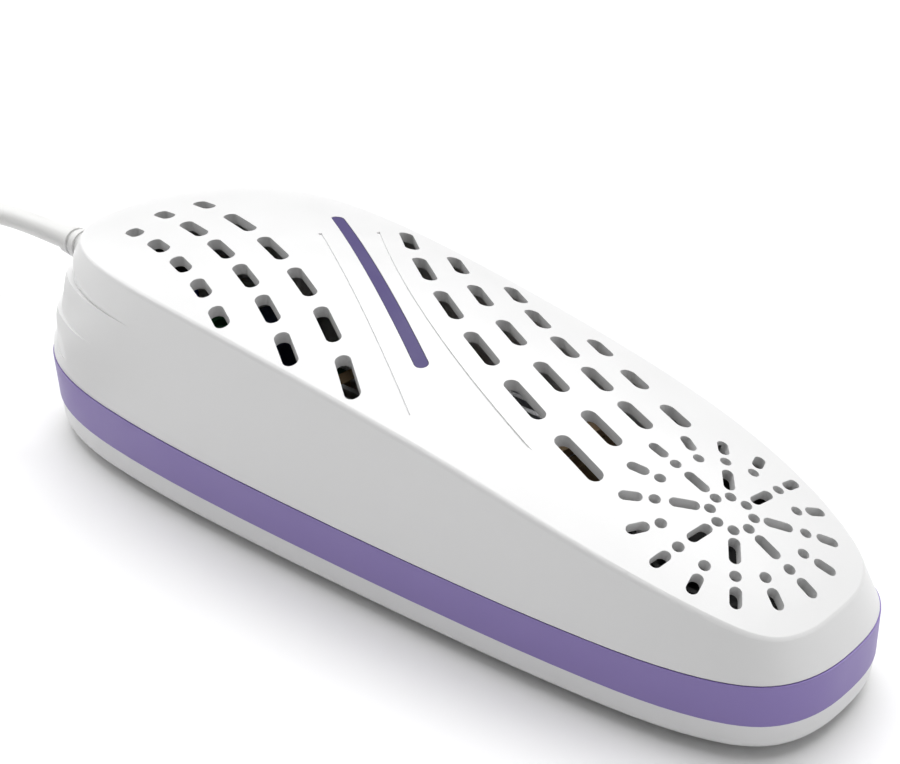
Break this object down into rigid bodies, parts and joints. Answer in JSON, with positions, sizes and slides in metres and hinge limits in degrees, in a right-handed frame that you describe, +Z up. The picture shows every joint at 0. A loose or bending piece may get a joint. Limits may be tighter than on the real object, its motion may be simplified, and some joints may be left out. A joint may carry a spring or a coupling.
{
  "type": "boot dryer",
  "caption": "In-shoe boot dryer: white two-part shell with a violet band, diagonal light strip, vent slots, round toe grille and a mains lead.",
  "frame": {"origin": "on the floor, under the middle of the housing's box", "axes": "+X from the heel to the toe, +Z up, +Y to the left when looking towards the toe"},
  "size_m": [0.2943, 0.0929, 0.0423],
  "materials": {
    "white_shell": "satin moulded ABS",
    "band_violet": "satin violet trim",
    "strip_violet": "tinted light strip",
    "clear_guide": "clear acrylic",
    "board_green": "printed circuit board",
    "led_body": "white LED package",
    "foot_rubber": "soft rubber",
    "label_grey": "blank foil plate",
    "steel": "zinc plated steel",
    "lead_white": "soft PVC",
    "core_blue": "insulated core",
    "black_nylon": "glass-filled nylon",
    "terminal_green": "moulded terminal block",
    "capacitor_yellow": "film capacitor case",
    "can_blue": "sleeved aluminium can",
    "resistor_tan": "lacquered ceramic",
    "fin_aluminium": "extruded aluminium",
    "electrode_brass": "brass sheet",
    "ptc_ceramic": "barium titanate ceramic",
    "film_amber": "polyimide film",
    "holder_tan": "heat-resistant phenolic",
    "fuse_beige": "sealed fuse case",
    "silicone_red": "silicone insulation",
    "fan_black": "black fan plastic",
    "bearing_bronze": "sintered bronze",
    "stator_copper": "enamelled copper windings",
    "magnet_dark": "bonded ferrite",
    "seal_foam": "closed-cell foam",
    "plug_white": "moulded PVC",
    "pin_nickel": "nickel-plated brass"
  },
  "bodies": {
    "housing": {"upper_shell": "white_shell", "lower_shell": "white_shell", "trim_band": "band_violet", "light_strip": "strip_violet", "light_guide": "clear_guide", "led_board": "board_green", "leds": "led_body", "led_board_screws": "steel", "rubber_feet": "foot_rubber", "rating_plate": "label_grey", "case_screws": "steel", "strain_relief": "lead_white", "lead_inner_end": "lead_white", "mains_cores": "core_blue", "cord_clamp": "black_nylon", "clamp_screws": "steel", "control_board": "board_green", "board_screws": "steel", "terminal_block": "terminal_green", "film_capacitor": "capacitor_yellow", "smoothing_capacitor": "can_blue", "bridge_rectifier": "black_nylon", "resistors": "resistor_tan", "heat_sink_lower": "fin_aluminium", "heat_sink_upper": "fin_aluminium", "electrodes": "electrode_brass", "ptc_elements": "ptc_ceramic", "insulating_films": "film_amber", "heater_holders": "holder_tan", "thermal_cutout": "holder_tan", "thermal_fuse": "fuse_beige", "heater_wires": "silicone_red", "fan_frame": "fan_black", "fan_bearing": "bearing_bronze", "fan_stator": "stator_copper", "fan_seal": "seal_foam", "fan_screws": "steel", "fan_wires": "silicone_red", "mains_lead": "lead_white", "lead_coil": "lead_white", "lead_tail": "lead_white", "plug_body": "plug_white", "plug_pins": "pin_nickel"},
    "fan": {"fan_rotor": "fan_black", "fan_shaft": "steel", "rotor_magnet": "magnet_dark"}
  },
  "joints": [
    {"name": "fan_spin", "type": "hinge", "parent": "housing", "child": "fan", "pos_m": [0.06014, 0, 0.018], "axis": [0.355, 0, 0.9348], "continuous": true}
  ]
}
